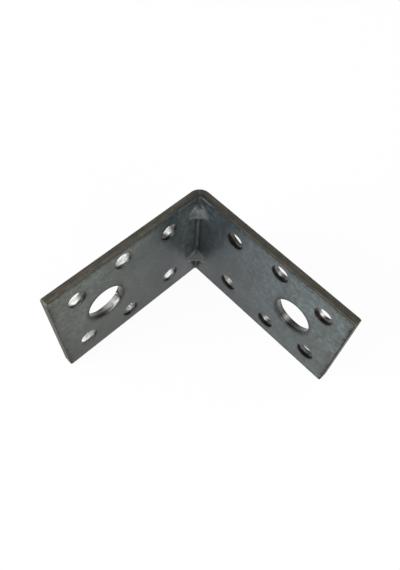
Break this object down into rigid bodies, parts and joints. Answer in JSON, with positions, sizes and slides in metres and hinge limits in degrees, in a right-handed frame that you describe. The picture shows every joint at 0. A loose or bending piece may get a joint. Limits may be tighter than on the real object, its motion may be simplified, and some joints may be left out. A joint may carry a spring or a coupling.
{
  "type": "angle bracket",
  "caption": "Right-angle bracket folded from galvanised steel sheet, with punched screw holes, a larger bolt hole in each leg and two pressed beads across the inside corner.",
  "frame": {"origin": "the sharp outer corner that the two outer faces would meet at, on the plane of the lower long edge", "axes": "+Z runs along the fold, up from the lower long edge; the shorter leg runs along +X with its outer face on y = 0, the longer leg along +Y with its outer face on x = 0"},
  "size_m": [0.0482, 0.0509, 0.033],
  "materials": {
    "galvanised_steel": "satin zinc coating, faintly mottled, with duller cut edges"
  },
  "bodies": {
    "root": {"angle_bracket": "galvanised_steel"}
  },
  "joints": []
}
